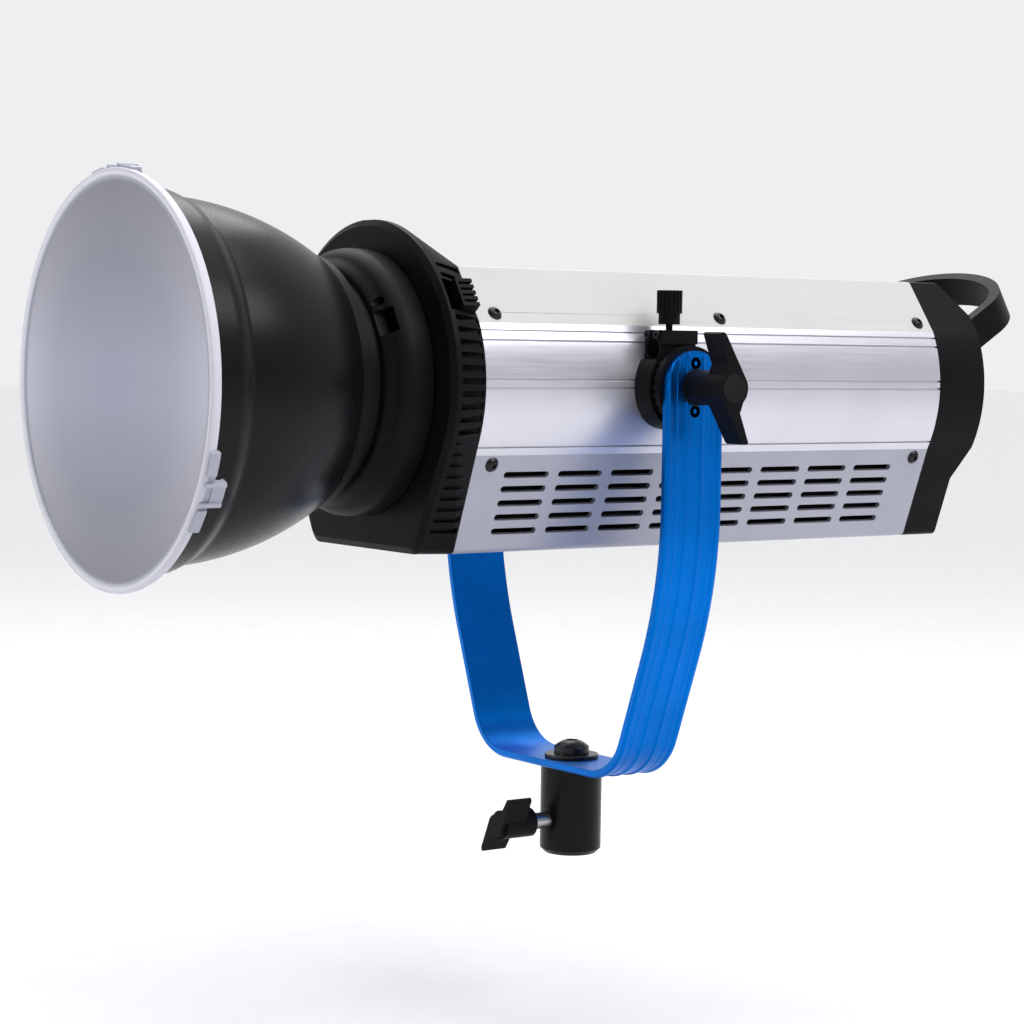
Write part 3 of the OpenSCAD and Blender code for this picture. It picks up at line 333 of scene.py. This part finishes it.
def yoke_path():
    """(outer point, outward direction) along the right half, from the middle to the round end."""
    out = [((x, BASE_Z), (0, -1)) for x in (0, 8, 16, 25)]
    bends = ((corner_c, CORNER_R, -90, tangent), (bow_c, BOW_R, tangent, 0))
    for c, r, start, stop in bends:
        for i in range(BEND_STEPS + 1):
            a = math.radians(start + (stop - start) * i / BEND_STEPS)
            way = (math.cos(a), math.sin(a))
            out.append(((c[0] + r * way[0], c[1] + r * way[1]), way))
    top = [180 + 5 * i for i in range(11)]
    top += [TILT_Z + STRAP_W / 2 * math.sin(math.radians(90 * i / 20)) for i in range(1, 21)]
    out += [((HALF, z), (1, 0)) for z in top]
    return out


def rib(y):
    """How far the outer face stands out at y: lips at both edges, two thin ribs between them."""
    h = 0.0
    for centre, width, proud in ((14.7, 1.3, 0.7), (4.3, 1.0, 0.7), (10.2, 0.5, 0.25)):
        t = (abs(y) - centre) / width
        h = max(h, proud * max(0.0, 1 - t * t * t * t))
    return h


def sweep_yoke():
    right = yoke_path()
    path = [((-p[0], p[1]), (-n[0], n[1])) for p, n in reversed(right[1:])] + right
    verts = []
    for (px, pz), (nx, nz) in path:
        over = max(0.0, pz - TILT_Z)
        half = math.sqrt(max(0.0, (STRAP_W / 2) ** 2 - over ** 2)) if over else STRAP_W / 2
        half = max(half, 0.05)
        # Out along the ribbed outer face, then back along the inner one.
        for outside in (True, False):
            for k in range(ACROSS + 1) if outside else range(ACROSS, -1, -1):
                y = half * (2 * k / ACROSS - 1)
                edge = 0.0
                if half > 1:
                    edge = EDGE_ROUND * max(0.0, (abs(y) / half - EDGE_FROM) / EDGE_BAND)
                h = rib(y) - edge if outside else edge - STRAP_T
                verts.append(((px + nx * h) * MM, y * MM, (pz + nz * h) * MM))
    cols = 2 * (ACROSS + 1)
    faces = grid_faces(len(path), cols, False, True)
    faces += [tuple(range(cols)), tuple((len(path) - 1) * cols + j for j in range(cols))]
    piece("yoke_strap", verts, faces, "blue_anodised", "stand", "yoke")


sweep_yoke()

# Reflector bowl: dome, step, near-cylindrical band and rolled bead.
FORE = 103.0
DOME_R, BOWL_WALL, BAND_R, THROAT_R = 137.0, 1.6, 84.0, 44.0
bowl_back, band_back, band_fore = FORE + 56, FORE + 130, FORE + 143
dome = ((59.0, bowl_back), (80.8, band_back - 6.5))
chord = (dome[1][0] - dome[0][0], dome[1][1] - dome[0][1])
length = math.hypot(*chord)
reach = math.sqrt(DOME_R ** 2 - (length / 2) ** 2)
dome_c = ((dome[0][0] + dome[1][0]) / 2 - chord[1] / length * reach,
          (dome[0][1] + dome[1][1]) / 2 + chord[0] / length * reach)
a0 = math.degrees(math.atan2(dome[0][1] - dome_c[1], dome[0][0] - dome_c[0]))
a1 = math.degrees(math.atan2(dome[1][1] - dome_c[1], dome[1][0] - dome_c[0]))
outer = [(THROAT_R, bowl_back), (57.6, bowl_back), (58.6, bowl_back + 0.3)]
outer += arc(dome_c, DOME_R, a0 + 0.5, a1, 40)
outer += [(81.8, band_back - 4.9), (82.9, band_back - 3.0), (83.6, band_back - 1.3)]
outer += [(BAND_R, band_back)]
outer += [(BAND_R + 1.6 * i / 8, band_back + 13.0 * i / 8) for i in range(1, 8)]
bead = arc((86.2, FORE + 143.6), 1.5, 240, 480, 18)
inner = [(BAND_R, band_fore + 0.6), (BAND_R, band_fore), (82.4, band_back + 0.4)]
inner += [(82.0, band_back - 1.6)]
inner += arc(dome_c, DOME_R - BOWL_WALL, a1, a0 + 0.7, 40) + [(THROAT_R, bowl_back + BOWL_WALL)]
lathe("bowl_shell", outer + bead + inner, "black_paint", "reflector", "reflector_bowl")

# Frosted cover: flat disc, stepped rim, and three clip tabs with hooks.
FACE = FORE + 148.4
cover = [(0.02, FACE - 3.0), (87.9, FACE - 3.0), (88.5, FACE - 5.0)]
cover += [(90.1, FACE - 5.0), (90.4, FACE - 4.7), (91.4, FACE - 2.5), (91.5, FACE - 2.0)]
cover += [(91.5, FACE - 0.9)] + arc((90.6, FACE - 0.9), 0.9, 0, 90, 5)
cover += [(89.5, FACE), (89.0, FACE - 0.25), (88.6, FACE - 0.7), (87.9, FACE - 0.75)]
cover += [(87.5, FACE - 0.5), (87.0, FACE - 0.5), (86.5, FACE - 1.2), (0.02, FACE - 1.2)]
# The disc wears the frosted material with painted shade and a painted highlight.
lathe("frosted_disc", cover, "frosted", "cover", "frosted_cover", mat=FROST_PAINTED_LIGHT)


def tab(index, angle):
    """A low curved step behind the rim with raised ends and a hook that reaches over the bead."""
    bm = bmesh.new()

    def block(d0, d1, r0, r1, s0, s1, n=10):
        """A curved bar from angle d0 to d1, between two radii and two distances forward."""
        ring = []
        for i in range(n + 1):
            a = math.radians(angle + d0 + (d1 - d0) * i / n)
            corners = ((r0, s0), (r1, s0), (r1, s1), (r0, s1))
            ring.append([bm.verts.new(on_axis(r, s, a)) for r, s in corners])
        for here, there in zip(ring, ring[1:]):
            for j in range(4):
                k = (j + 1) % 4
                bm.faces.new((here[j], here[k], there[k], there[j]))
        bm.faces.new(ring[0])
        bm.faces.new(ring[n])

    block(-12, 12, 88.8, 91.2, FACE - 6.5, FACE - 3.2)
    block(-12, -4.6, 90.9, 92.7, FACE - 6.0, FACE - 1.4, 6)
    block(5.5, 12, 90.9, 92.7, FACE - 6.0, FACE - 1.4, 6)
    block(-3.5, 3.5, 89.0, 91.9, FACE - 12, FACE - 5.8, 6)
    block(-3.5, 3.5, 88.2, 89.2, FACE - 12, FACE - 10.4, 6)
    for edge in (-3.5, 2.4):
        block(edge, edge + 1.1, 91.7, 93.3, FACE - 11.4, FACE - 1.6, 2)
    bmesh.ops.recalc_face_normals(bm, faces=bm.faces)
    mesh = bpy.data.meshes.new(f"cover_tab_{index}")
    bm.to_mesh(mesh)
    bm.free()
    obj = bpy.data.objects.new(mesh.name, mesh)
    bpy.context.scene.collection.objects.link(obj)
    mesh.materials.append(MATS["frosted"])
    finish_edges(obj, 0.35, 3)
    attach(obj, "cover")


TAB_AT = (91, 211, 331)
for index, angle in enumerate(TAB_AT):
    tab(index, angle)

# Painted shade behind the vents: a black folded sheet down each flank, inside the lower cover,
# standing in for the shade inside the head.
for index, sign in enumerate((1, -1)):
    fold = [(55.2, -33.5), (54.0, -36.5), (40.6, -69.0), (36.0, -70.5), (36.0, -71.3),
            (41.2, -69.6), (54.9, -36.4), (56.0, -33.2)]
    stations = (-97.0, -60.0, 0.0, 60.0, 120.0, 170.0)
    shade_sheet_verts = [(sign * x * MM, y * MM, PIVOT_Z + z * MM) for y in stations for x, z in fold]
    sheet = grid_faces(len(stations), len(fold), False, True)
    last = (len(stations) - 1) * len(fold)
    sheet += [tuple(range(len(fold))), tuple(last + j for j in range(len(fold)))]
    piece(f"vent_shade_sheet_{index}", shade_sheet_verts, sheet, "black_plastic", "head")

# ---- Stage, camera and light ----

# The lamp hangs on a stand, so the floor lies below the lowest point that any pose reaches.
FLOOR_Z = -0.075
floor_paint = make("floor", (0.66, 0.66, 0.67), 0.75, 0.0, 0.01, 60, 0.02, 0.05)
bpy.ops.mesh.primitive_plane_add(size=30, location=(0, 0, FLOOR_Z))
floor = bpy.context.object
floor.name = "floor"
floor.data.materials.append(floor_paint)

CAM_AT = (0.9978, -0.7482, 0.2481)
LENS_MM, SENSOR_MM = 89.97, 36
azimuth, pitch, roll = math.radians(54.56), math.radians(3.73), math.radians(0.84)
forward = Vector((-math.sin(azimuth) * math.cos(pitch), math.cos(azimuth) * math.cos(pitch),
                  -math.sin(pitch)))
right = Vector((math.cos(azimuth), math.sin(azimuth), 0))
up = right.cross(forward)
side = math.cos(roll) * right + math.sin(roll) * up
rise = -math.sin(roll) * right + math.cos(roll) * up
cam = bpy.data.objects.new("camera", bpy.data.cameras.new("camera"))
bpy.context.scene.collection.objects.link(cam)
cam.data.lens, cam.data.sensor_width = LENS_MM, SENSOR_MM
turn = Matrix((side, rise, -forward)).transposed().to_4x4()
cam.matrix_world = Matrix.Translation(CAM_AT) @ turn
bpy.context.scene.camera = cam


def area(name, where, at, size, power):
    data = bpy.data.lights.new(name, "AREA")
    data.shape, data.size, data.size_y = "RECTANGLE", size[0], size[1]
    data.energy = power
    obj = bpy.data.objects.new(name, data)
    bpy.context.scene.collection.objects.link(obj)
    obj.location = where
    obj.rotation_euler = (Vector(at) - Vector(where)).to_track_quat("-Z", "Y").to_euler()


area("front", (-0.6, -1.9, 0.6), (0, -0.22, 0.24), (0.8, 0.8), 8.5)
area("rim", (-0.9, 0.3, 1.5), (0, 0, 0.26), (1.2, 1.0), 12)
area("side", (1.15, 0.45, 1.35), (0.06, -0.12, 0.27), (1.3, 0.6), 15)

overhead = bpy.data.lights.new("overhead", "SUN")
overhead.energy, overhead.angle = 2.0, math.radians(60)
overhead_obj = bpy.data.objects.new("overhead", overhead)
bpy.context.scene.collection.objects.link(overhead_obj)
overhead_obj.rotation_euler = Vector((-0.15, -0.12, -1)).to_track_quat("-Z", "Y").to_euler()

# The room is brighter beyond the object than on the other side, fixed in space.
world = bpy.data.worlds.new("studio")
bpy.context.scene.world = world
world.use_nodes = True
room = world.node_tree
sky = next(n for n in room.nodes if n.type == "BACKGROUND")
where = room.nodes.new("ShaderNodeTexCoord")
along = room.nodes.new("ShaderNodeVectorMath")
along.operation = "DOT_PRODUCT"
BRIGHT_WAY = (-0.81, 0.58, 0.10)
along.inputs[1].default_value = BRIGHT_WAY
room.links.new(where.outputs["Generated"], along.inputs[0])
span = room.nodes.new("ShaderNodeMapRange")
span.interpolation_type = "SMOOTHSTEP"
for socket, value in (("From Min", -0.6), ("From Max", 0.9),
                      ("To Min", 0.36), ("To Max", 0.88)):
    span.inputs[socket].default_value = value
room.links.new(along.outputs["Value"], span.inputs["Value"])
room.links.new(span.outputs["Result"], sky.inputs["Strength"])
sky.inputs["Color"].default_value = (0.97, 0.98, 1.0, 1)

bpy.context.scene.view_settings.view_transform = "Standard"
